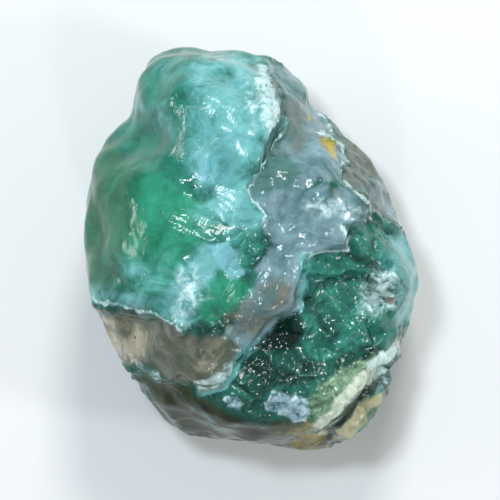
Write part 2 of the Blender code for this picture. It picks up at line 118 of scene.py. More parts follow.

# Zones of the stone, seen from above, in millimetres: kind, what it is, strength, edge width,
# outline. The kind "splinter" has no colour: there the surface is splintered and glitters.
# Rows marked painted shade, sheen, glow, glitter or reflection stand in for light, not for the
# crystal's zoning.
ZONES = [
    ("jade", "head", 0.95, 3.00,
     [(-24.0, 36.0), (-14.8, 40.0), (-4.0, 40.0), (3.0, 37.0), (1.7, 28.2), (0.7, 21.9),
      (-4.2, 17.5), (-9.0, 17.0), (-13.9, 20.9), (-19.2, 22.9), (-26.0, 23.0)]),
    ("jade", "lobe's upper edge", 0.85, 3.00,
     [(-32.0, 16.6), (-26.0, 24.0), (-18.2, 24.0), (-11.4, 21.9), (-8.0, 17.0), (-9.0, 11.0),
      (-14.0, 13.0), (-20.0, 13.6), (-32.0, 13.0)]),
    # Painted shade: the lobe's left flank is a darker bottle green, partly its own deeper green
    # and partly painted shade.
    ("bottle_green_and_shade", "lobe's left flank", 1.00, 2.20,
     [(-34.0, 18.0), (-24.0, 18.0), (-19.0, 12.0), (-19.5, 6.0), (-21.5, 0.0), (-24.0, -7.0),
      (-34.0, -9.0)]),
    ("jade", "lobe's brow", 0.80, 2.50,
     [(-24.0, 20.0), (-14.0, 20.5), (-10.0, 15.0), (-14.0, 12.0), (-20.0, 13.0)]),
    ("teal", "right facets", 0.75, 0.80,
     [(14.8, -11.1), (18.2, -8.4), (24.0, -9.6), (26.4, -12.5), (24.5, -15.9), (18.2, -16.9),
      (13.8, -18.4), (14.5, -14.5)]),
    ("teal", "strip under the sheet", 0.95, 0.50,
     [(8.5, -1.1), (15.2, -0.9), (18.2, -2.4), (20.6, -3.9), (14.3, -5.0), (8.0, -5.3)]),
    ("teal", "facet beside the crack", 0.70, 0.60,
     [(7.5, -10.6), (10.4, -11.1), (12.8, -14.5), (13.8, -18.4), (10.4, -19.3), (8.0, -15.9)]),
    ("teal", "below the crack", 0.50, 1.50,
     [(8.5, -5.0), (20.0, -4.5), (20.0, -9.0), (14.0, -11.0), (8.5, -10.5)]),
    ("teal", "beside the sheet's tip", 0.75, 1.50,
     [(15.5, 3.8), (20.0, 5.0), (24.0, 2.0), (22.0, -3.0), (16.8, -1.2)]),
    ("teal", "small chip", 0.90, 0.40,
     [(-4.2, 1.8), (0.7, 3.9), (2.6, 1.0), (0.2, -1.9), (-1.2, -3.8), (-3.2, -0.4)]),
    ("emerald", "lobe", 1.00, 4.00,
     [(-22.1, 14.6), (-18.7, 14.1), (-13.9, 10.7), (-10.5, 8.8), (-6.1, 6.9), (-4.2, 3.9),
      (-8.0, 1.0), (-12.4, -3.3), (-13.9, -6.7), (-17.3, -8.4), (-21.6, -7.2), (-23.6, -1.9),
      (-24.0, 3.9), (-23.3, 10.7)]),
    ("emerald", "crest", 0.70, 3.00,
     [(-4.2, 15.1), (0.7, 17.5), (1.7, 14.6), (-1.0, 10.7), (-2.2, 7.8), (-6.1, 7.8),
      (-8.0, 10.7)]),
    ("emerald", "patch under the milk", 0.80, 1.00,
     [(-8.5, -4.3), (-4.2, -3.3), (-0.3, -5.3), (-0.3, -8.7), (-4.2, -10.6), (-7.1, -12.5),
      (-9.0, -10.6)]),
    ("aqua", "ridge", 0.95, 3.00,
     [(-10.0, 31.6), (-3.2, 32.8), (0.7, 32.1), (3.1, 25.8), (4.1, 20.0), (2.4, 15.6),
      (-1.0, 10.7), (2.9, 5.4), (0.7, 3.7), (-4.2, 2.5), (-7.6, 6.4), (-9.0, 10.7),
      (-10.9, 16.1), (-10.5, 21.9)]),
    # Painted glow: a paler aqua low on the lobe, partly milky veil and partly painted light.
    ("aqua", "lobe's lower glow", 0.58, 3.00,
     [(-24.5, -1.0), (-14.0, 0.0), (-13.5, -8.0), (-18.0, -9.5), (-24.0, -8.5)]),
    ("aqua", "head patch", 0.25, 2.20,
     [(-9.0, 30.6), (-3.2, 31.6), (0.2, 28.2), (0.2, 22.4), (-4.2, 21.9), (-8.0, 23.3),
      (-10.0, 27.2)]),
    ("aqua", "brow", 0.50, 1.60,
     [(-17.3, 32.6), (-12.9, 34.0), (-10.0, 33.0), (-10.5, 30.6), (-14.8, 28.7), (-17.3, 29.7)]),
    ("aqua", "neck veil", 0.55, 1.60,
     [(-18.7, 24.1), (-14.8, 24.8), (-12.9, 21.9), (-11.4, 17.5), (-14.8, 18.5), (-18.2, 21.9)]),
    ("aqua", "milk below the lobe", 1.00, 1.80,
     [(-15.8, -10.4), (-12.4, -13.0), (-10.0, -12.1), (-8.0, -5.8), (-6.1, -3.3), (-2.2, -0.9),
      (-6.1, 1.3), (-9.0, 0.1), (-12.4, -3.3), (-14.5, -6.7)]),
    ("aqua", "lobe's lower edge", 0.75, 1.80,
     [(-32.0, -7.7), (-21.1, -9.9), (-14.8, -11.2), (-13.9, -6.7), (-17.3, -8.0), (-22.1, -6.6),
      (-32.0, -5.6)]),
    ("aqua", "right bulge", 1.00, 1.80,
     [(23.0, 2.0), (33.0, 4.0), (33.0, -11.0), (27.4, -12.5), (24.9, -13.0),
      (25.2, -8.7), (24.0, -4.8), (21.6, -1.6)]),
    ("aqua", "veil over the crest", 0.45, 2.00,
     [(-10.5, 8.0), (-4.0, 9.0), (-1.0, 4.0), (-6.0, 1.0), (-10.5, 2.5)]),
    ("azure", "blue facet", 1.00, 0.60,
     [(-6.8, 0.6), (-4.2, 1.5), (-1.2, -3.8), (-3.2, -5.3), (-5.6, -2.8)]),
    ("lilac", "upper sheet", 0.95, 1.60,
     [(3.6, 32.1), (7.5, 30.6), (10.1, 25.8), (13.5, 22.3), (12.6, 20.4), (11.4, 19.5),
      (11.4, 17.5), (14.8, 16.6), (15.2, 15.1), (14.5, 11.0), (10.4, 10.5), (8.5, 8.8),
      (3.6, 8.8), (0.2, 8.6), (-0.9, 10.5), (2.9, 15.1), (4.3, 18.5), (6.0, 21.9), (5.5, 26.3)]),
    ("lilac", "lower sheet", 1.00, 1.20,
     [(0.2, 8.6), (5.5, 9.3), (10.4, 10.7), (15.2, 10.7), (18.2, 9.3), (20.6, 6.4), (19.4, 4.9),
      (14.9, 4.2), (16.2, -0.7), (12.3, -0.4), (8.1, -0.9), (7.7, -5.8), (7.2, -9.6),
      (3.8, -11.8), (0.2, -15.9), (-2.2, -17.4), (-4.2, -14.5), (-2.2, -10.6), (0.2, -5.8),
      (0.7, -2.4), (2.9, 1.0), (1.7, 3.9), (2.9, 5.4)]),
    # Painted shade: a darker teal is painted into the hollows by the shoulder, under the ridge and
    # beside the upper edge.
    ("shaded_hollow", "by the shoulder", 0.90, 1.00,
     [(-0.6, 10.6), (1.8, 13.6), (4.6, 16.6), (6.6, 14.6), (8.6, 12.6), (6.2, 10.6), (3.0, 9.6),
      (0.8, 8.4)]),
    ("shaded_hollow", "under the ridge", 0.60, 1.00,
     [(4.6, 25.0), (6.0, 24.0), (7.4, 20.0), (7.0, 17.0), (4.8, 17.6), (5.4, 20.6)]),
    ("shaded_hollow", "shadow of the upper edge", 0.55, 0.90,
     [(6.0, 31.0), (9.0, 29.0), (8.6, 26.0), (6.6, 25.4), (5.2, 28.4)]),
    # Painted sheen: a paler lilac grey painted at the right rim stands in for light caught there.
    ("lilac", "sheen at the right rim", 0.42, 1.60,
     [(22.0, 14.0), (26.0, 12.0), (28.0, 5.0), (24.0, 4.0), (21.1, 6.0), (18.2, 9.5),
      (19.0, 13.0)]),
    ("slate", "beside the upper sheet", 1.00, 1.20,
     [(9.5, 33.0), (16.0, 30.0), (24.0, 22.0), (29.0, 12.0), (27.5, 4.0), (21.5, 6.0),
      (16.5, 9.6), (15.4, 12.0), (15.9, 15.4), (15.0, 18.6), (13.6, 20.8), (14.0, 22.4),
      (10.8, 25.8)]),
    ("smoke_and_shade", "slab", 1.00, 1.60,
     [(-31.0, -9.2), (-22.0, -10.8), (-18.7, -11.2), (-13.9, -12.2), (-11.4, -14.4), (-6.1, -14.5),
      (-4.2, -15.0), (-1.7, -16.9), (-3.2, -18.8), (-3.2, -20.5), (-6.3, -23.0), (-9.0, -24.2),
      (-10.0, -22.5), (-14.8, -22.5), (-18.7, -20.1), (-22.5, -19.6), (-30.0, -20.0)]),
    # Painted shade: smoky grey painted over the sheet's shaded side and in the upper shade below.
    ("smoke_and_shade", "sheet's shaded side", 0.55, 1.60,
     [(-6.1, -11.1), (-2.2, -8.7), (1.7, -4.8), (5.5, -3.8), (7.5, -5.8), (7.0, -9.6),
      (3.6, -11.6), (0.2, -15.5), (-3.2, -15.5)]),
    ("smoke_and_shade", "upper shade", 0.48, 1.60,
     [(4.1, 28.2), (8.0, 26.7), (10.4, 23.3), (9.9, 18.5), (8.5, 15.1), (5.5, 16.6),
      (4.6, 21.9)]),
    # Painted light: the pale dun of the slab's ends is partly their own buff and partly painted
    # paler as light on them.
    ("dun_and_painted_light", "slab's left end", 1.00, 2.40,
     [(-32.0, -11.5), (-22.0, -12.6), (-17.0, -14.0), (-18.5, -19.0), (-32.0, -20.0)]),
    ("dun_and_painted_light", "slab's middle", 0.55, 2.00,
     [(-11.0, -15.5), (-5.0, -15.0), (-4.0, -19.5), (-10.0, -21.0)]),
    ("smoke_and_shade", "foot", 0.40, 2.00,
     [(-4.2, -30.0), (3.6, -29.0), (8.5, -30.0), (5.5, -33.9), (-2.2, -33.4)]),
    # Painted shade: the dark olive of the foot is partly its own colour and partly painted shade
    # where the stone turns under.
    ("olive_and_shade", "foot", 1.00, 2.00,
     [(-30.0, -20.0), (-17.3, -21.5), (-10.0, -23.6), (-8.5, -25.4), (-2.2, -28.0),
      (3.6, -29.4), (9.4, -29.0), (8.9, -33.0), (9.0, -40.0), (-4.0, -40.0), (-18.0, -38.0),
      (-28.0, -30.0)]),
    ("olive_and_shade", "right flank", 0.40, 2.00,
     [(22.5, -10.6), (33.0, -9.0), (33.0, -15.0), (27.0, -18.4), (22.5, -17.9)]),
    ("moss", "beside the cream", 1.00, 1.20,
     [(9.4, -24.7), (12.8, -21.5), (17.2, -19.6), (22.5, -17.4), (24.0, -17.9), (21.1, -20.8),
      (17.4, -23.0), (14.8, -26.1), (12.6, -30.0), (9.4, -30.0), (8.9, -27.1)]),
    ("moss", "foot", 0.35, 1.60,
     [(1.7, -30.0), (8.5, -29.0), (10.4, -30.0), (8.5, -34.9), (4.6, -35.3), (1.7, -32.9)]),
    ("straw", "foot", 1.00, 1.80,
     [(6.0, -31.0), (9.5, -29.5), (13.0, -31.0), (13.0, -38.0), (5.0, -38.0)]),
    ("buff", "outer foot", 0.60, 2.00,
     [(17.7, -27.6), (22.3, -25.4), (27.0, -27.0), (23.0, -36.0), (12.3, -38.0), (14.5, -31.9)]),
    ("frost", "ridge", 0.75, 1.10,
     [(0.9, 32.3), (3.4, 31.6), (4.3, 28.2), (4.6, 25.3), (5.5, 21.9), (4.1, 19.2), (2.4, 19.5),
      (1.4, 21.9), (0.7, 25.8), (0.2, 29.2)]),
    ("frost", "ridge's fan", 0.45, 1.60,
     [(-2.2, 31.6), (0.7, 32.1), (0.7, 23.3), (1.7, 19.5), (0.2, 18.5), (-1.2, 21.9),
      (-1.7, 26.7)]),
    ("frost", "milk", 0.55, 2.20,
     [(-13.4, -3.0), (-9.5, -2.0), (-7.6, -4.6), (-8.8, -9.0), (-10.2, -13.0),
      (-12.4, -13.6), (-13.8, -11.6), (-13.6, -7.0)]),
    ("frost", "sheet's upper tongue", 0.50, 1.40,
     [(8.0, 8.6), (14.0, 9.0), (20.3, 6.8), (18.5, 4.9), (12.0, 5.0), (8.5, 6.0)]),
    ("frost", "inner ridge's upper end", 1.00, 1.20,
     [(19.4, -19.6), (24.8, -15.6), (26.0, -18.0), (22.0, -22.2)]),
    # Painted glitter: pale frost painted beside the rim stands in for sparkling light there.
    ("frost", "glitter by the rim", 0.85, 2.40,
     [(20.1, -3.3), (24.3, -3.8), (24.9, -8.7), (22.0, -11.0), (18.2, -10.6), (18.6, -6.7)]),
    ("azure", "neck", 0.60, 1.60,
     [(-10.5, 16.5), (-6.0, 17.0), (-4.0, 12.0), (-8.0, 9.5), (-11.0, 12.5)]),
    ("frost", "beside the stain", 0.90, 0.50,
     [(11.1, 20.0), (12.8, 21.9), (13.7, 22.1), (13.5, 20.4), (14.8, 18.5), (14.5, 17.0),
      (13.1, 19.2), (11.6, 18.5)]),
    ("frost", "slab's corner", 0.70, 0.50,
     [(-10.0, -22.0), (-6.1, -20.3), (-3.2, -18.6), (-2.9, -20.5), (-5.6, -22.7),
      (-9.0, -24.3)]),
    ("frost", "slab's left corner", 0.60, 0.50,
     [(-17.7, -20.1), (-15.3, -20.8), (-14.6, -22.5), (-16.3, -22.5), (-17.5, -21.5)]),
    ("frost", "outer cream", 0.50, 1.00,
     [(20.6, -19.3), (24.5, -17.1), (24.5, -20.3), (22.5, -24.2), (20.1, -24.7),
      (19.6, -21.8)]),
    # Painted reflection: the pale blue of the cleavage faces is partly their own cleavage and
    # partly the light a flat face catches.
    ("silver_glint", "cleavage face", 0.90, 0.60,
     [(2.4, -25.9), (3.6, -24.2), (5.5, -23.8), (8.9, -25.2), (9.7, -27.1), (8.9, -28.8),
      (6.5, -28.8), (5.1, -27.8), (2.9, -27.3)]),
    ("silver_glint", "small cleavage face", 0.65, 0.50,
     [(-5.4, -24.9), (-3.2, -23.8), (-1.2, -25.6), (-2.0, -26.8), (-4.6, -26.4)]),
    # Painted shade: darker teal painted into the sheet's hollows.
    ("shaded_hollow", "sheet's hollow", 0.60, 1.80,
     [(3.0, 14.5), (8.0, 15.0), (9.0, 10.5), (5.0, 9.5), (3.0, 11.0)]),
    ("shaded_hollow", "sheet's upper hollow", 0.45, 1.60,
     [(5.5, 20.0), (10.0, 20.5), (10.5, 16.0), (6.5, 15.5)]),
    # Painted shade: smoky grey painted in the right shade.
    ("smoke_and_shade", "right shade", 0.55, 1.60,
     [(14.5, 20.0), (18.5, 20.0), (22.5, 13.5), (19.0, 11.5), (15.5, 14.0)]),
    # Painted shade: darker bottle green painted over the lobe's upper part.
    ("bottle_green_and_shade", "lobe's upper shade", 0.50, 3.50,
     [(-24.5, 12.0), (-21.0, 19.5), (-15.0, 20.5), (-14.0, 14.0), (-19.0, 10.0), (-20.0, 5.0),
      (-24.5, 5.0)]),
    # Painted shade: the darkest green under the sheet's rim. The dark window below is the clear
    # crystal's own depth.
    ("deep", "shade under the sheet", 0.90, 1.20,
     [(-2.5, -18.5), (0.3, -15.6), (3.8, -11.6), (7.2, -9.9), (8.6, -13.0), (7.2, -17.3),
      (3.0, -17.6), (0.0, -17.0)]),
    ("deep", "dark window", 0.55, 1.20,
     [(-2.2, -18.4), (0.6, -17.2), (6.0, -18.6), (8.8, -21.4), (8.0, -23.4), (2.0, -23.0),
      (-1.7, -21.2)]),
    ("splinter", "dark window", 1.00, 0.80,
     [(-2.2, -17.9), (0.2, -15.9), (3.6, -17.9), (8.4, -20.8), (8.0, -23.2), (4.6, -22.7),
      (0.7, -22.7), (-1.7, -20.8)]),
    ("splinter", "below the crack", 0.80, 0.80,
     [(8.0, -6.2), (12.8, -5.8), (15.7, -5.8), (15.2, -10.6), (12.0, -11.1), (8.4, -11.1)]),
    ("splinter", "right facets", 0.90, 0.60,
     [(15.2, -15.7), (15.7, -13.6), (18.6, -13.6), (18.2, -16.0)]),
    ("splinter", "right edge", 0.80, 0.80,
     [(19.1, -12.5), (21.5, -12.5), (22.5, -16.2), (20.1, -16.2)]),
    ("splinter", "glitter by the rim", 0.40, 1.20,
     [(20.1, -3.3), (24.3, -3.8), (24.9, -8.7), (22.0, -11.0), (18.2, -10.6), (18.6, -6.7)]),
    ("splinter", "fold of the sheet", 1.00, 0.80,
     [(-1.2, -3.4), (4.6, -4.4), (7.0, -7.7), (2.6, -8.2), (-0.8, -5.8)]),
    ("splinter", "patch under the milk", 1.00, 0.60,
     [(-5.8, -7.2), (-3.4, -4.0), (-2.0, -5.0), (-4.0, -8.0)]),
    ("splinter", "patch's lower side", 0.90, 0.60,
     [(-3.2, -8.7), (-0.8, -7.7), (-0.3, -9.8), (-2.4, -10.3)]),
    ("splinter", "slab's middle", 0.90, 0.80,
     [(-5.8, -13.3), (-2.2, -13.3), (-0.3, -11.0), (0.9, -12.1), (-2.2, -15.8), (-5.1, -15.6)]),
    ("splinter", "slab's upper edge", 0.90, 0.60,
     [(-11.4, -14.0), (-8.0, -13.5), (-7.6, -15.2), (-10.5, -15.6)]),
    ("splinter", "by the small face", 0.90, 0.80,
     [(-5.3, -24.0), (-0.6, -23.5), (0.2, -26.8), (-4.6, -26.4)]),
    ("splinter", "foot", 0.90, 0.50,
     [(-12.6, -24.5), (-10.5, -24.5), (-11.0, -26.8), (-12.6, -26.3)]),
    ("splinter", "moss", 0.60, 1.00,
     [(8.9, -22.2), (13.3, -21.6), (13.6, -26.1), (9.9, -29.0), (8.9, -25.2)]),
    ("splinter", "inner ridge's end", 0.80, 0.80,
     [(17.7, -22.7), (21.5, -20.2), (22.3, -23.6), (18.2, -25.2)]),
    ("splinter", "outer ridge", 0.60, 0.60,
     [(14.8, -29.0), (16.7, -28.1), (16.2, -31.9), (14.3, -31.5)]),
    ("splinter", "head", 0.60, 1.00,
     [(-9.0, 25.2), (-6.1, 25.8), (-2.2, 23.8), (-4.2, 22.0), (-8.0, 22.6)]),
    ("splinter", "head's brow", 0.60, 1.00,
     [(-12.9, 30.0), (-10.3, 29.2), (-11.0, 26.8), (-13.6, 27.8)]),
    ("splinter", "under the ridge", 0.80, 0.80,
     [(3.1, 20.4), (6.5, 20.4), (7.2, 16.1), (3.6, 17.2)]),
    ("splinter", "right shoulder", 0.80, 0.80,
     [(18.0, 10.9), (21.1, 9.6), (21.3, 7.6), (18.2, 8.1)]),
    ("splinter", "lobe", 0.22, 1.60,
     [(-14.8, 4.9), (-6.1, 7.2), (-7.1, 1.0), (-13.9, -0.3)]),
    ("splinter", "cleavage face", 0.70, 0.60,
     [(2.2, -26.2), (3.6, -24.0), (5.5, -23.5), (9.1, -25.0), (9.9, -27.1), (8.9, -29.0),
      (6.5, -29.0), (5.1, -28.0), (2.7, -27.5)]),
]

# Veins and rims that follow an edge: kind, what it is, strength, half-width, line.
VEINS = [
    ("frost", "shoulder rim", 0.80, 0.20,
     [(3.7, 19.2), (2.7, 16.6), (1.9, 14.6), (0.7, 12.7), (-0.9, 10.5), (0.2, 8.3), (2.9, 5.3),
      (1.8, 4.3)]),
    ("frost", "upper sheet rim", 0.85, 0.30,
     [(9.9, 25.8), (11.8, 23.7), (13.5, 22.3), (12.6, 20.8), (14.5, 18.5), (15.2, 15.2),
      (14.8, 11.5), (18.2, 9.3), (20.6, 6.4), (19.1, 4.7)]),
    ("frost", "sheet's tongue rim", 0.80, 0.20,
     [(14.8, 3.9), (16.2, -0.8), (12.3, -0.4), (9.4, -0.7)]),
    ("frost", "cleavage face's edge", 0.55, 0.22,
     [(2.4, -25.9), (3.6, -24.3), (5.5, -23.9)]),
    ("frost", "cleavage face's corner", 0.60, 0.26,
     [(9.0, -25.4), (9.6, -27.1), (8.9, -28.8), (6.6, -28.7)]),
    ("frost", "small cleavage face's edge", 0.70, 0.20,
     [(-5.2, -25.2), (-3.2, -23.9), (-1.4, -25.5)]),
    ("aqua", "lower sheet rim", 1.00, 0.90,
     [(9.4, -0.8), (8.0, -1.1), (7.9, -4.3), (7.2, -9.7), (3.7, -11.8), (0.3, -15.8),
      (-3.1, -18.7), (-2.9, -20.5), (-6.1, -23.0), (-9.0, -24.2)]),
    ("frost", "crack", 0.55, 0.14, [(7.7, -5.4), (12.3, -5.1), (16.2, -4.8), (20.7, -3.9)]),
    ("frost", "facet line", 0.35, 0.14, [(14.8, -10.8), (14.5, -14.5), (13.7, -18.6)]),
    ("frost", "chip line", 0.45, 0.16, [(-6.1, 0.3), (-4.2, 1.5), (0.7, 3.9), (2.6, 4.4)]),
    ("frost", "lobe's rim", 0.60, 0.35,
     [(-27.0, -8.2), (-21.1, -9.9), (-17.3, -10.6), (-13.9, -12.1), (-11.9, -13.5)]),
    ("frost", "slab's left rim", 0.45, 0.30,
     [(-26.0, -9.9), (-24.5, -13.5), (-22.8, -16.9), (-18.7, -19.8), (-15.8, -22.0)]),
    ("cream", "inner ridge", 1.00, 1.30,
     [(24.7, -17.1), (21.1, -20.1), (17.7, -22.7), (15.5, -25.4), (13.3, -28.5),
      (11.6, -30.2)]),
    ("buff", "outer ridge", 0.90, 1.20,
     [(22.0, -25.2), (19.4, -26.6), (17.4, -29.0), (16.2, -31.5), (13.3, -33.9)]),
    # Painted shade: the groove is painted darker olive, and its bottom darker green still.
    ("olive_and_shade", "groove", 0.60, 1.00,
     [(23.2, -20.3), (20.1, -23.0), (16.9, -26.8), (13.8, -30.7), (11.1, -34.4)]),
    ("deep", "groove's bottom", 0.60, 0.80,
     [(20.6, -22.7), (17.2, -26.8), (14.5, -30.0), (11.8, -33.9)]),
    ("frost", "vein across the head", 0.40, 0.35,
     [(-11.9, 24.3), (-8.0, 23.8), (-3.2, 23.8), (0.7, 24.3)]),
    ("frost", "vein down the crest", 0.35, 0.30,
     [(-4.2, 19.0), (-7.1, 17.0), (-8.0, 13.6), (-6.1, 10.7), (-4.2, 8.8)]),
]

# Stains and inclusions: kind, strength, radius, centre.
SPOTS = [
    ("stain", 1.00, 2.30, (13.1, 17.8)),
    ("stain", 0.70, 0.70, (10.1, 22.4)),
    ("stain", 0.50, 0.50, (3.7, 22.8)),
    ("stain", 0.35, 0.90, (14.3, 9.8)),
    ("rust", 0.90, 0.60, (23.5, -9.1)),
    ("rust", 0.80, 0.50, (26.9, -8.9)),
    ("rust", 0.50, 0.50, (20.8, 13.9)),
    ("inclusion", 1.00, 0.95, (-8.5, -27.4)),
    ("inclusion", 1.00, 0.28, (-20.3, -15.2)),
    ("inclusion", 0.50, 0.30, (-6.8, -27.3)),
]

# Kinds of crystal from the deepest to the topmost: light tone, dark tone, the pattern between
# the two tones, the pattern that tears the zone's edge, then how that edge is cut (from, to, how
# much the tearing counts, how dense the zone gets), and how clear it is (transmission), how
# rough, and how strongly its fine relief shows.
KINDS = [
    ("emerald", "#3FB48E", "#238263", "veil", "veil", (0.08, 0.80, 0.8, 0.95), (0.30, 0.15, 0.9)),
    ("jade", "#36A18C", "#1B715D", "veil", "veil", (0.10, 0.80, 0.7, 0.92), (0.32, 0.15, 0.8)),
    ("teal", "#4DB5A2", "#257561", "facet", "veil", (0.10, 0.80, 0.7, 0.92), (0.32, 0.12, 0.8)),
    # A darker green that is partly the crystal's own and partly painted shade on the lobe's flank
    # and upper part.
    ("bottle_green_and_shade", "#2C936D", "#176747", "veil", "veil", (0.10, 0.80, 0.6, 0.92), (0.32, 0.13, 0.5)),
    ("slate", "#8A9084", "#485F57", "veil", "veil", (0.25, 0.70, 0.8, 0.90), (0.22, 0.12, 0.8)),
    # Milky aqua, and a painted glow low on the lobe.
    ("aqua", "#84CBCB", "#4A9690", "veil", "veil", (0.12, 0.85, 1.0, 0.92), (0.15, 0.17, 0.9)),
    ("azure", "#98D8DE", "#62B0B8", "veil", "veil", (0.20, 0.80, 0.9, 0.90), (0.15, 0.14, 0.8)),
    # Lilac grey of the sheets, and a painted sheen at the right rim.
    ("lilac", "#A3C1CA", "#527D7F", "veil", "veil", (0.25, 0.70, 0.8, 0.90), (0.22, 0.12, 0.8)),
    # A darker teal that is painted shade in the hollows.
    ("shaded_hollow", "#6FA39A", "#316659", "veil", "veil", (0.20, 0.75, 0.8, 0.85), (0.32, 0.11, 0.8)),
    # Smoky grey: the crystal's own on the slab and foot, and painted shade in the shaded zones.
    ("smoke_and_shade", "#84826F", "#50594D", "veil", "veil", (0.20, 0.75, 0.9, 0.90), (0.22, 0.12, 0.8)),
    # Pale buff: partly the slab's own colour, partly painted light on its ends.
    ("dun_and_painted_light", "#E0D6BA", "#A9A386", "veil", "veil", (0.20, 0.75, 0.9, 0.90), (0.15, 0.14, 0.8)),
    # Dark olive: partly the foot's own colour, partly painted shade where it turns under and in
    # the groove.
    ("olive_and_shade", "#484A29", "#181C0B", "veil", "veil", (0.25, 0.75, 0.7, 0.92), (0.25, 0.20, 0.5)),
    ("moss", "#B4D2A8", "#4E8467", "mottle", "mottle", (0.20, 0.80, 0.9, 0.85),
     (0.25, 0.12, 0.7)),
    ("straw", "#A3953A", "#645B12", "veil", "veil", (0.25, 0.75, 0.8, 0.92), (0.12, 0.16, 0.6)),
    ("cream", "#E6EEDF", "#B4C3A4", "mottle", "mottle", (0.10, 0.90, 0.6, 0.95),
     (0.15, 0.15, 0.5)),
    ("buff", "#D9D2A8", "#A09A70", "veil", "veil", (0.15, 0.85, 0.8, 0.92), (0.15, 0.15, 0.5)),
    # Whitish frost and bruises of the crystal, and a painted glitter by the right rim.
    ("frost", "#E2F4F2", "#B2DAD7", "mottle", "mottle", (0.20, 0.80, 1.1, 0.82),
     (0.08, 0.16, 0.8)),
    # Pale blue of a cleavage face: partly its own, partly a painted reflection of the light.
    ("silver_glint", "#E2F7FC", "#4A93A4", "mottle", "mottle", (0.15, 0.80, 1.2, 0.9),
     (0.20, 0.06, 1.3)),
    # Darkest green: the clear crystal's own depth, and painted shade under the sheet and at the
    # groove's bottom.
    ("deep", "#1A4439", "#0C2620", "veil", "mottle", (0.30, 0.70, 0.5, 0.90), (0.50, 0.08, 0.8)),
    ("stain", "#CDB02E", "#9A8524", "grain", "grain", (0.10, 0.90, 0.9, 0.88), (0.00, 0.40, 0.8)),
    ("rust", "#9C7858", "#735440", "grain", "grain", (0.30, 0.70, 1.0, 0.80), (0.00, 0.40, 0.8)),
    ("inclusion", "#1B1E1C", "#101211", "grain", "grain", (0.30, 0.60, 0.8, 0.9),
     (0.0, 0.3, 0.6)),
]

# The kinds that thin out where the stone turns down to the table.
WALL_KINDS = ("frost", "cream", "buff", "straw", "moss", "silver_glint", "dun_and_painted_light", "slate", "deep",
              "olive_and_shade", "aqua", "azure", "lilac")


def linear(hex_colour):
    """Turns an sRGB hex colour into the linear one that a shader socket takes."""
    parts = [int(hex_colour[i:i + 2], 16) / 255 for i in (1, 3, 5)]
    return tuple(p / 12.92 if p <= 0.04045 else ((p + 0.055) / 1.055) ** 2.4 for p in parts)


def add_node(tree, kind, settings=None, links=None):
    """Adds a node; settings are its options, or by number or name its inputs, links its feeds."""
    made = tree.nodes.new(kind)
    for name, value in (settings or {}).items():
        if isinstance(name, str) and hasattr(made, name):
            setattr(made, name, value)
        else:
            made.inputs[name].default_value = value
    for name, source in (links or {}).items():
        tree.links.new(source, made.inputs[name])
    return made


def smooth_step(low, high, value):
    """Rises gently from 0 at low to 1 at high."""
    share = np.clip((value - low) / (high - low), 0.0, 1.0)
    return share * share * (3.0 - 2.0 * share)


def noise_at(points, size, seed):
    """Perlin noise of a real size in millimetres, from -1 to 1, at every point."""
    shift = Vector((seed * 7.31, seed * 3.17, seed * 5.77))
    return np.array([noise.noise(Vector(p) / size + shift) for p in points])


def drift_at(points, size, seed):
    """A smooth wandering vector of a real size in millimetres, at every point."""
    return np.stack([noise_at(points, size, 100 * seed + axis) for axis in range(3)], axis=1)


def line_distance(points, starts, ends):
    """The distance from every point in plan to the nearest of some straight stretches."""
    nearest = np.full(len(points), np.inf)
    for start, end in zip(starts, ends):
        along = end - start
        share = np.clip((points - start) @ along / (along @ along), 0.0, 1.0)
        gap = points - start - share[:, None] * along
        nearest = np.minimum(nearest, np.hypot(gap[:, 0], gap[:, 1]))
    return nearest


def inside_depth(points, outline):
    """How deep every point lies inside an outline in plan; negative outside it."""
    starts = np.array(outline)
    ends = np.roll(starts, -1, axis=0)
    inside = np.zeros(len(points), bool)
    for (x0, y0), (x1, y1) in zip(starts, ends):
        if y0 == y1:
            continue
        between = (y0 > points[:, 1]) != (y1 > points[:, 1])
        crossing = x0 + (points[:, 1] - y0) * (x1 - x0) / (y1 - y0)
        inside ^= between & (points[:, 0] < crossing)
    distance = line_distance(points, starts, ends)
    return np.where(inside, distance, -distance)


def zone_levels(plan, points):
    """How strongly each kind of crystal shows at every point, from the drawn zones.

    Zones and veins are read in plan; a spot is a ragged ball round the topmost point under it.
    """
    levels = {kind: np.zeros(len(plan)) for kind in [row[0] for row in KINDS] + ["splinter"]}
    for kind, _, strength, edge, outline in ZONES:
        level = strength * np.clip(0.5 + inside_depth(plan, outline) / (2 * edge), 0.0, 1.0)
        levels[kind] = np.maximum(levels[kind], level)
    for kind, _, strength, half_width, line in VEINS:
        path = np.array(line)
        gap = line_distance(plan, path[:-1], path[1:])
        level = strength * np.clip(1.5 - gap / half_width, 0.0, 1.0)
        levels[kind] = np.maximum(levels[kind], level)
    ragged = points + 0.35 * drift_at(points, 1.5, 2)
    for kind, strength, radius, centre in SPOTS:
        aside = np.hypot(points[:, 0] - centre[0], points[:, 1] - centre[1])
        top = points[np.argmax(np.where(aside < 0.6, points[:, 2], -1.0))]
        gap = np.linalg.norm(ragged - top, axis=1)
        level = strength * np.clip(1.5 - gap / radius, 0.0, 1.0)
        levels[kind] = np.maximum(levels[kind], level)
    return levels


def cleavage_directions():
    """The four directions square to the cleavage planes, upper side."""
    directions = [(0.0, 0.0, 1.0)]
    for turn in range(3):
        azimuth = CLEAVAGE_AZIMUTH + turn * math.tau / 3
        flat = math.cos(CLEAVAGE_LEAN)
        directions.append((
            flat * math.cos(azimuth), flat * math.sin(azimuth), math.sin(CLEAVAGE_LEAN)))
    return np.array(directions)


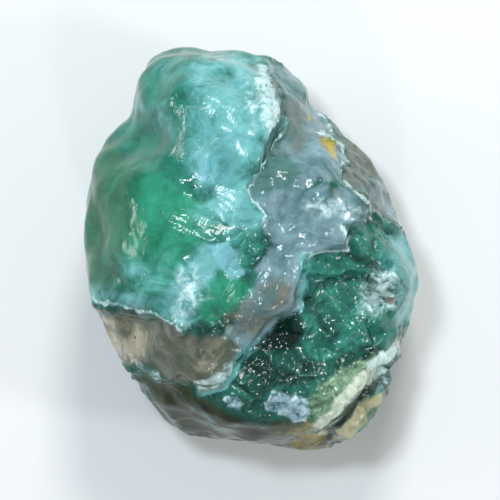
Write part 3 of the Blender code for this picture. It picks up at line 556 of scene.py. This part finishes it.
def crystal_axes():
    """The crystal's three cube axes, one a row: each leans the same from the vertical."""
    lean = math.acos(1 / math.sqrt(3))
    turns = [CLEAVAGE_AZIMUTH + math.pi + third * math.tau / 3 for third in range(3)]
    return Matrix([
        (math.sin(lean) * math.cos(turn), math.sin(lean) * math.sin(turn), math.cos(lean))
        for turn in turns])


def facets_at(points, size, slope):
    """Flat facets of a usual size in mm: each point's height in mm and its facet's own tone."""
    turned = points @ np.array(crystal_axes()).T / size
    nearest = [noise.voronoi(Vector(p)) for p in turned]
    gaps = np.array([distances[1] - distances[0] for distances, _ in nearest])
    tips = np.array([cells[0] for _, cells in nearest])
    cell = np.floor(tips)
    draws = np.modf(np.abs(np.sin(cell @ FACET_WEIGHTS)) * FACET_SCATTER)[0]
    height = slope * size * ((turned - tips) * (2 * draws[:, :3] - 1)).sum(axis=1)
    return height * smooth_step(0.0, 0.25, gaps), draws[:, 3]


def smoothed(points, edges, weight, passes):
    """Pulls every point towards the middle of its neighbours, as strongly as its weight says."""
    count = np.zeros(len(points))
    np.add.at(count, edges[:, 0], 1.0)
    np.add.at(count, edges[:, 1], 1.0)
    for _ in range(passes):
        middle = np.zeros_like(points)
        np.add.at(middle, edges[:, 0], points[edges[:, 1]])
        np.add.at(middle, edges[:, 1], points[edges[:, 0]])
        middle /= count[:, None]
        points = points + (middle - points) * weight[:, None]
    return points


def mesh_arrays(mesh):
    """The mesh's points in millimetres, their normals and the edges between them."""
    points = np.zeros(len(mesh.vertices) * 3, np.float32)
    mesh.vertices.foreach_get("co", points)
    normals = np.zeros(len(mesh.vertices) * 3, np.float32)
    mesh.vertex_normals.foreach_get("vector", normals)
    edges = np.zeros(len(mesh.edges) * 2, np.int32)
    mesh.edges.foreach_get("vertices", edges)
    return (
        points.reshape(-1, 3).astype(float) / MM,
        normals.reshape(-1, 3).astype(float),
        edges.reshape(-1, 2),
    )


def move_points(mesh, points):
    """Puts the mesh's points where the millimetre array says."""
    mesh.vertices.foreach_set("co", (points * MM).astype(np.float32).ravel())
    mesh.update()


class ChunkSettings(bpy.types.PropertyGroup):
    """Sizes and colours of the stone."""

    grain_size: bpy.props.FloatProperty(
        name="Mesh spacing", description="Distance between the points of the stone's fine mesh",
        default=0.00042, min=0.0003, max=0.003, subtype="DISTANCE", unit="LENGTH", precision=5)
    step_height: bpy.props.FloatProperty(
        name="Cleavage step", description="Usual height of a small cleavage step",
        default=0.0009, min=0.0, max=0.004, subtype="DISTANCE", unit="LENGTH", precision=5)
    wrinkle_height: bpy.props.FloatProperty(
        name="Wrinkle height", description="Height of the fine wrinkles on the worn lobe",
        default=0.00007, min=0.0, max=0.001, subtype="DISTANCE", unit="LENGTH", precision=5)
    body_colour: bpy.props.FloatVectorProperty(
        name="Deep green", description="Colour of the clear crystal where nothing clouds it",
        default=linear("#42A48E"), min=0.0, max=1.0, size=3, subtype="COLOR")
    shade_colour: bpy.props.FloatVectorProperty(
        name="Darkest green", description="Colour of the clear crystal where it is darkest",
        default=linear("#0F322A"), min=0.0, max=1.0, size=3, subtype="COLOR")
    glow_colour: bpy.props.FloatVectorProperty(
        name="Inner tint", description="Tint that light keeps as it passes through the stone",
        default=(0.30, 0.84, 0.66), min=0.0, max=1.0, size=3, subtype="COLOR")
    depth_of_colour: bpy.props.FloatProperty(
        name="Depth of colour", description="How much of the other colours each metre takes away",
        default=220.0, min=0.0, max=1000.0)


class StageSettings(bpy.types.PropertyGroup):
    """Sizes and colours of the table and the lights."""

    table_size: bpy.props.FloatProperty(
        name="Table size", description="Side of the square table", default=3.0, min=0.5, max=20.0,
        subtype="DISTANCE", unit="LENGTH")
    table_colour: bpy.props.FloatVectorProperty(
        name="Table colour", description="Colour of the pale table",
        default=linear("#E3E3E1"), min=0.0, max=1.0, size=3, subtype="COLOR")
    key_power: bpy.props.FloatProperty(
        name="Key light", description="Power of the light from beyond the stone",
        default=2.1, min=0.0, max=200.0, subtype="POWER", unit="POWER")


def fine_copy(name, node, spacing):
    """A closed copy of a CAD node's mesh with points evenly spaced over it."""
    coarse = node.data.copy()
    welded = bmesh.new()
    welded.from_mesh(coarse)
    bmesh.ops.remove_doubles(welded, verts=welded.verts, dist=0.00001)
    welded.to_mesh(coarse)
    welded.free()
    stone = bpy.data.objects.new(name, coarse)
    bpy.context.scene.collection.objects.link(stone)
    remesh = stone.modifiers.new("even spacing", "REMESH")
    remesh.mode = "VOXEL"
    remesh.voxel_size = spacing
    remesh.adaptivity = 0.0
    depsgraph = bpy.context.evaluated_depsgraph_get()
    fine = bpy.data.meshes.new_from_object(stone.evaluated_get(depsgraph))
    stone.modifiers.remove(remesh)
    stone.data = fine
    fine.name = name
    fine.materials.clear()
    bpy.data.meshes.remove(coarse)
    return stone


def dress_surface(mesh, settings):
    """Cuts the fine relief of the stone and stores its colour zones as attributes."""
    points, normals, edges = mesh_arrays(mesh)
    below = smooth_step(RIM_HEIGHT, 3.0, points[:, 2])
    steady = smoothed(normals, edges, np.full(len(points), 0.6), 4)
    steep = 1.0 - smooth_step(0.15, 0.5, steady[:, 2])
    wander = 0.7 * drift_at(points, 4.5, 1) + 0.35 * drift_at(points, 1.5, 2)
    wander += (7.0 * below)[:, None] * drift_at(points, 15.0, 3)
    wander += (4.0 * steep)[:, None] * drift_at(points, 6.0, 4)
    plan = points[:, :2] + wander[:, :2]
    levels = zone_levels(plan, points)
    # Down the steep sides every pale or dark kind thins out into loose clouds.
    wall = np.maximum(0.8 * steep, smooth_step(RIM_HEIGHT, 8.0, points[:, 2]))
    for number, kind in enumerate(WALL_KINDS):
        reach = below if kind in ("aqua", "azure", "lilac") else wall
        size = 3.5 if kind in ("frost", "cream", "deep") else 7.0
        cloud = smooth_step(-0.6, 0.35, noise_at(points, size, 40 + number))
        levels[kind] *= 1.0 - reach * cloud
    skin = [levels[kind] for kind in ("emerald", "jade", "bottle_green_and_shade", "aqua")]
    skin += [0.8 * levels["olive_and_shade"], 0.45 * levels["smoke_and_shade"], 0.45 * levels["dun_and_painted_light"],
             0.6 * levels["cream"], 0.6 * levels["buff"]]
    sheets = [levels[kind] for kind in (
        "lilac", "smoke_and_shade", "dun_and_painted_light", "olive_and_shade", "slate", "cream", "straw", "buff", "azure")]
    crisp = 1.0 - smooth_step(0.15, 0.65, np.max(skin, axis=0))
    hackly = crisp * (1.0 - 0.85 * smooth_step(0.1, 0.6, np.max(sheets, axis=0)))

    points = smoothed(points, edges, 0.25 + 0.3 * (1.0 - crisp), LEVEL_PASSES)
    points = smoothed(points, edges, 0.6 * (1.0 - crisp), WORN_PASSES)
    move_points(mesh, points)
    points, normals, edges = mesh_arrays(mesh)
    steady = smoothed(normals, edges, np.full(len(points), 0.6), 4)
    steady /= np.linalg.norm(steady, axis=1)[:, None]
    calm = smoothed(normals, edges, np.full(len(points), 0.6), 14)
    flat = smooth_step(0.80, 0.97, np.linalg.norm(calm, axis=1))
    upward = smooth_step(0.2, 0.6, steady[:, 2])

    # Small flat steps: the surface is drawn to the nearest cleavage plane where it faces one.
    step = settings.step_height / MM
    shift = np.zeros_like(points)
    for number, direction in enumerate(cleavage_directions()):
        for side in (1.0, -1.0):
            facing = np.clip(steady @ (side * direction), 0.0, 1.0) ** 6
            level = points @ direction / step + 1.3 * noise_at(points, 5.0, 20 + number)
            gap = (np.round(level) - level) * step
            shift += ((0.15 * crisp + 0.4 * hackly) * facing * gap)[:, None] * direction
    points = points + shift

    # Wrinkles run down and to the right over the worn skin where it faces up.
    across = points[:, 0] * WRINKLE_ACROSS[0] + points[:, 1] * WRINKLE_ACROSS[1]
    ripple = np.sin((across + 2.2 * noise_at(points, 4.0, 5)) * math.tau / WRINKLE_SPACING)
    ripple *= smooth_step(-0.1, 0.5, noise_at(points, 6.0, 6))
    ripple *= smooth_step(0.35, 0.8, steady[:, 2])
    height = (1.0 - crisp) * ripple * settings.wrinkle_height / MM

    # Pits and knobs everywhere, stronger on the broken faces.
    height += (0.05 + 0.08 * hackly) * noise_at(points, 1.3, 7)
    height += 0.06 * (levels["moss"] + levels["frost"]) * noise_at(points, 0.9, 8)
    large, tone = facets_at(points, *LARGE_FACET)
    small, small_tone = facets_at(points, *SMALL_FACET)
    height += hackly * (0.15 + 0.85 * flat) * (0.35 + 0.65 * upward) * (large + small)
    points = points + steady * height[:, None]
    low, high = (np.array(corner) / MM for corner in CAD_BOX)
    points = np.clip(points, low - 0.2, high + 0.2)
    points[:, 2] = np.maximum(points[:, 2], low[2])
    move_points(mesh, points)

    # Sharp edges are bruised pale, and the bottom of a crease is painted dark as painted shade.
    points, normals, edges = mesh_arrays(mesh)
    level_ground = smoothed(points, edges, np.ones(len(points)), 1)
    bulge = ((points - level_ground) * normals).sum(axis=1)
    bulge = smoothed(bulge[:, None], edges, np.full(len(points), 0.5), 1)[:, 0]
    bruise = BRUISE * smooth_step(0.06, 0.13, bulge) * crisp * (1.0 - 0.8 * below)
    levels["frost"] = np.maximum(levels["frost"], bruise)
    # Painted shade: this level darkens the colour at the bottom of every crease.
    levels["crease"] = smooth_step(0.02, 0.08, -bulge)
    levels["broken"] = 0.3 * crisp + 0.7 * hackly
    levels["facet"] = 0.7 * tone + 0.3 * small_tone

    for kind, level in levels.items():
        layer = mesh.attributes.new(kind, "FLOAT", "POINT")
        layer.data.foreach_set("value", level.astype(np.float32))
    mesh.shade_smooth()


def crystal_material(settings):
    """Clear green fluorite clouded by milky, lilac, smoky and creamy growth zones.

    A natural crystal, broken along its cleavage and rubbed smooth in places: glassy lustre,
    low refraction, colour in soft drifting zones and a whitish bruise along every sharp edge.
    Some zones are painted light and shade rather than crystal colour: shade in hollows, creases,
    grooves and down some sides, and a few painted sheens, glows and glints.
    """
    material = bpy.data.materials.new("translucent_fluorite")
    material.use_nodes = True
    tree = material.node_tree
    tree.nodes.clear()
    place = add_node(tree, "ShaderNodeTexCoord").outputs["Object"]

    along = {}
    for name, sizes in (("fibre", (5.0, 0.7, 1.5)), ("wrinkle", (1.8, 0.35, 0.7)),
                        ("splint", (4.5, 0.80, 1.6))):
        along[name] = add_node(tree, "ShaderNodeMapping", {
            "vector_type": "TEXTURE", "Rotation": (0.0, 0.0, math.radians(FIBRE_ANGLE)),
            "Scale": tuple(size * MM for size in sizes)}, {"Vector": place}).outputs[0]
    patterns = {}
    fields = {
        "veil": (place, 1 / (7.0 * MM), 8.0, 0.64, 0.34, 0.66),
        "mottle": (place, 1 / (1.6 * MM), 4.0, 0.6, 0.3, 0.7),
        "grain": (place, 1 / (0.5 * MM), 2.0, 0.6, 0.3, 0.7),
        "fibre": (along["fibre"], 1.0, 4.0, 0.6, 0.32, 0.68),
        "wrinkle": (along["wrinkle"], 1.0, 3.0, 0.5, 0.3, 0.7),
        "splint": (along["splint"], 1.0, 2.0, 0.5, 0.25, 0.75),
    }
    for name, (where, scale, detail, roughness, low, high) in fields.items():
        cloud = add_node(tree, "ShaderNodeTexNoise", {
            "Scale": scale, "Detail": detail, "Roughness": roughness, "Distortion": 0.8},
            {"Vector": where})
        patterns[name] = add_node(tree, "ShaderNodeMapRange", {
            "From Min": low, "From Max": high}, {"Value": cloud.outputs["Fac"]}).outputs["Result"]

    crystal_place = add_node(tree, "ShaderNodeMapping", {
        "vector_type": "POINT", "Rotation": crystal_axes().to_euler()},
        {"Vector": place}).outputs[0]
    chips = {}
    for name, size in (("flat", FLAT_WIDTH), ("chip", CHIP_WIDTH)):
        chips[name] = add_node(tree, "ShaderNodeTexVoronoi", {
            "distance": "MANHATTAN", "Scale": 1 / (size * MM)}, {"Vector": crystal_place})
    tone = add_node(tree, "ShaderNodeAttribute", {
        "attribute_type": "GEOMETRY", "attribute_name": "facet"}).outputs["Fac"]
    patterns["facet"] = add_node(tree, "ShaderNodeMix", {0: 0.35},
                                 {2: tone, 3: patterns["veil"]}).outputs[0]

    colour = add_node(tree, "ShaderNodeMix", {
        "data_type": "RGBA", 6: (*settings.shade_colour, 1.0), 7: (*settings.body_colour, 1.0)},
        {0: patterns["facet"]}).outputs[2]
    finish = add_node(tree, "ShaderNodeCombineColor", {0: 0.5, 1: 0.06, 2: 0.8}).outputs[0]
    for kind, light, dark, tones, tears, edge, surface in KINDS:
        low, high, broken, density = edge
        level = add_node(tree, "ShaderNodeAttribute", {
            "attribute_type": "GEOMETRY", "attribute_name": kind}).outputs["Fac"]
        tearing = add_node(tree, "ShaderNodeMath", {
            "operation": "MULTIPLY_ADD", 1: broken, 2: 1.0 - broken / 2}, {0: patterns[tears]})
        torn = add_node(tree, "ShaderNodeMath", {"operation": "MULTIPLY"},
                        {0: level, 1: tearing.outputs[0]})
        mask = add_node(tree, "ShaderNodeMapRange", {
            "interpolation_type": "SMOOTHSTEP", "From Min": low, "From Max": high,
            "To Max": density}, {"Value": torn.outputs[0]}).outputs["Result"]
        tone = add_node(tree, "ShaderNodeMix", {
            "data_type": "RGBA", 6: (*linear(dark), 1.0), 7: (*linear(light), 1.0)},
            {0: patterns[tones]}).outputs[2]
        colour = add_node(tree, "ShaderNodeMix", {"data_type": "RGBA"},
                          {0: mask, 6: colour, 7: tone}).outputs[2]
        finish = add_node(tree, "ShaderNodeMix", {"data_type": "RGBA", 7: (*surface, 1.0)},
                          {0: mask, 6: finish}).outputs[2]
    # Painted shade: the colour is scaled by a mottled tone and darkened at the bottom of every
    # crease.
    painted_crease_shade = add_node(tree, "ShaderNodeAttribute", {
        "attribute_type": "GEOMETRY", "attribute_name": "crease"}).outputs["Fac"]
    shade = add_node(tree, "ShaderNodeMath", {"operation": "MULTIPLY_ADD", 1: 0.30, 2: 0.85},
                     {0: patterns["mottle"]})
    shade = add_node(tree, "ShaderNodeMath", {"operation": "MULTIPLY_ADD", 1: PAINTED_CREASE_SHADE},
                     {0: painted_crease_shade, 2: shade.outputs[0]})
    colour = add_node(tree, "ShaderNodeVectorMath", {"operation": "SCALE"},
                      {0: colour, "Scale": shade.outputs[0]}).outputs[0]
    parts = add_node(tree, "ShaderNodeSeparateColor", {}, {0: finish})

    broken = add_node(tree, "ShaderNodeAttribute", {
        "attribute_type": "GEOMETRY", "attribute_name": "broken"}).outputs["Fac"]
    splinter = add_node(tree, "ShaderNodeAttribute", {
        "attribute_type": "GEOMETRY", "attribute_name": "splinter"}).outputs["Fac"]
    relief = add_node(tree, "ShaderNodeMath", {"operation": "MULTIPLY", 1: FLAT_DEPTH},
                      {0: chips["flat"].outputs["Distance"]})
    relief = add_node(tree, "ShaderNodeMath", {"operation": "MULTIPLY_ADD", 1: CHIP_DEPTH},
                      {0: chips["chip"].outputs["Distance"], 2: relief.outputs[0]})
    relief = add_node(tree, "ShaderNodeMath", {"operation": "MULTIPLY"},
                      {0: relief.outputs[0], 1: broken})
    whole = add_node(tree, "ShaderNodeMath", {
        "operation": "MULTIPLY_ADD", 1: SPLINTER_LOSS, 2: 1.0}, {0: splinter})
    relief = add_node(tree, "ShaderNodeMath", {"operation": "MULTIPLY"},
                      {0: relief.outputs[0], 1: whole.outputs[0]})
    splints = add_node(tree, "ShaderNodeMath", {"operation": "MULTIPLY"},
                       {0: patterns["splint"], 1: splinter})
    worn = add_node(tree, "ShaderNodeMath", {"operation": "SUBTRACT", 0: 1.0}, {1: broken})
    wrinkles = add_node(tree, "ShaderNodeMath", {"operation": "MULTIPLY"},
                        {0: patterns["wrinkle"], 1: worn.outputs[0]})
    for pattern, depth in ((splints.outputs[0], SPLINTER_DEPTH),
                           (wrinkles.outputs[0], WRINKLE_DEPTH),
                           (patterns["grain"], GRAIN_DEPTH)):
        relief = add_node(tree, "ShaderNodeMath", {"operation": "MULTIPLY_ADD", 1: depth},
                          {0: pattern, 2: relief.outputs[0]})
    bump = add_node(tree, "ShaderNodeBump", {"Distance": 1.0 * MM},
                    {"Strength": parts.outputs[2], "Height": relief.outputs[0]})
    crystal = add_node(tree, "ShaderNodeBsdfPrincipled", {
        "IOR": FLUORITE_IOR, "Subsurface Weight": 0.3, "Subsurface Radius": (0.6, 1.0, 0.9),
        "Subsurface Scale": SCATTER_DEPTH},
        {"Base Color": colour, "Roughness": parts.outputs[1],
         "Transmission Weight": parts.outputs[0], "Normal": bump.outputs[0]})
    inside = add_node(tree, "ShaderNodeVolumeAbsorption", {
        "Color": (*settings.glow_colour, 1.0), "Density": settings.depth_of_colour})
    add_node(tree, "ShaderNodeOutputMaterial", {},
             {"Surface": crystal.outputs[0], "Volume": inside.outputs[0]})
    return material


class FLUORITE_OT_chunk(bpy.types.Operator):
    """Adds the rough fluorite chunk in place of its plain CAD solid"""

    bl_idname = "fluorite.chunk"
    bl_label = "Rough Fluorite Chunk"

    def execute(self, context):
        settings = context.scene.fluorite_chunk
        stone = fine_copy("rough_fluorite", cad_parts[STONE], settings.grain_size)
        if len(stone.data.polygons) < FEWEST_FACES:
            raise RuntimeError("the stone's mesh came out too coarse: make its spacing smaller")
        dress_surface(stone.data, settings)
        stone.data.materials.append(crystal_material(settings))
        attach(stone, "root")
        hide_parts(STONE)
        return {"FINISHED"}


class FLUORITE_OT_stage(bpy.types.Operator):
    """Adds the pale table, the soft lights and the camera above the stone"""

    bl_idname = "fluorite.stage"
    bl_label = "Pale Table and Lights"

    def execute(self, context):
        settings = context.scene.fluorite_stage
        plate = bmesh.new()
        bmesh.ops.create_grid(plate, x_segments=1, y_segments=1, size=settings.table_size / 2)
        mesh = bpy.data.meshes.new("pale_table")
        plate.to_mesh(mesh)
        plate.free()
        table = bpy.data.objects.new("pale_table", mesh)
        context.scene.collection.objects.link(table)
        paper = bpy.data.materials.new("matt_white_card")
        paper.use_nodes = True
        surface = paper.node_tree.nodes["Principled BSDF"]
        surface.inputs["Base Color"].default_value = (*settings.table_colour, 1.0)
        surface.inputs["Roughness"].default_value = 0.9
        mesh.materials.append(paper)

        # Name, place, width, height, power in watts, tint.
        lights = [
            ("key_lamp", (0.06, 0.46, 0.42), 0.14, 0.14, settings.key_power, "#FFFFFF"),
            ("top_lamp", (-0.12, 0.13, 0.60), 0.08, 0.08, 1.8, "#E4F0FF"),
            ("flank_lamp", (-0.62, 0.10, 0.16), 0.30, 0.04, 0.9, "#FFFFFF"),
            ("right_lamp", (0.56, -0.12, 0.40), 0.10, 0.10, 1.1, "#F6FAFF"),
            ("near_lamp", (0.06, -0.46, 0.34), 0.05, 0.05, 0.35, "#FFFFFF"),
        ]
        for name, spot, width, height, power, tint in lights:
            lamp = bpy.data.lights.new(name, "AREA")
            lamp.shape = "RECTANGLE"
            lamp.size = width
            lamp.size_y = height
            lamp.energy = power
            lamp.color = linear(tint)
            holder = bpy.data.objects.new(name, lamp)
            holder.location = spot
            aim = Vector((0.0, 0.0, 0.02)) - Vector(spot)
            holder.rotation_euler = aim.to_track_quat("-Z", "Y").to_euler()
            context.scene.collection.objects.link(holder)

        surround = bpy.data.worlds.new("pale_room")
        surround.use_nodes = True
        background = surround.node_tree.nodes["Background"]
        background.inputs["Color"].default_value = (*linear(ROOM_COLOUR), 1.0)
        background.inputs["Strength"].default_value = ROOM_LIGHT
        context.scene.world = surround

        lens = bpy.data.cameras.new("camera")
        lens.lens = CAMERA_LENS
        lens.sensor_width = CAMERA_SENSOR
        camera = bpy.data.objects.new("camera", lens)
        camera.location = CAMERA_PLACE
        context.scene.collection.objects.link(camera)
        context.scene.camera = camera
        context.scene.view_settings.view_transform = "Standard"
        return {"FINISHED"}


class FLUORITE_PT_panel(bpy.types.Panel):
    """Lists the stone and its stage"""

    bl_label = "Rough Fluorite"
    bl_idname = "FLUORITE_PT_panel"
    bl_space_type = "VIEW_3D"
    bl_region_type = "UI"
    bl_category = "Fluorite"

    def draw(self, context):
        rows = (("fluorite_chunk", "fluorite.chunk"), ("fluorite_stage", "fluorite.stage"))
        for group, operator in rows:
            box = self.layout.box()
            settings = getattr(context.scene, group)
            for name in settings.__annotations__:
                box.prop(settings, name)
            box.operator(operator)


CLASSES = (ChunkSettings, StageSettings, FLUORITE_OT_chunk, FLUORITE_OT_stage, FLUORITE_PT_panel)


def register():
    for each in CLASSES:
        bpy.utils.register_class(each)
    bpy.types.Scene.fluorite_chunk = bpy.props.PointerProperty(type=ChunkSettings)
    bpy.types.Scene.fluorite_stage = bpy.props.PointerProperty(type=StageSettings)


def unregister():
    del bpy.types.Scene.fluorite_stage
    del bpy.types.Scene.fluorite_chunk
    for each in reversed(CLASSES):
        bpy.utils.unregister_class(each)


def main():
    register()
    bpy.ops.fluorite.chunk()
    bpy.ops.fluorite.stage()


if __name__ == "__main__":
    main()
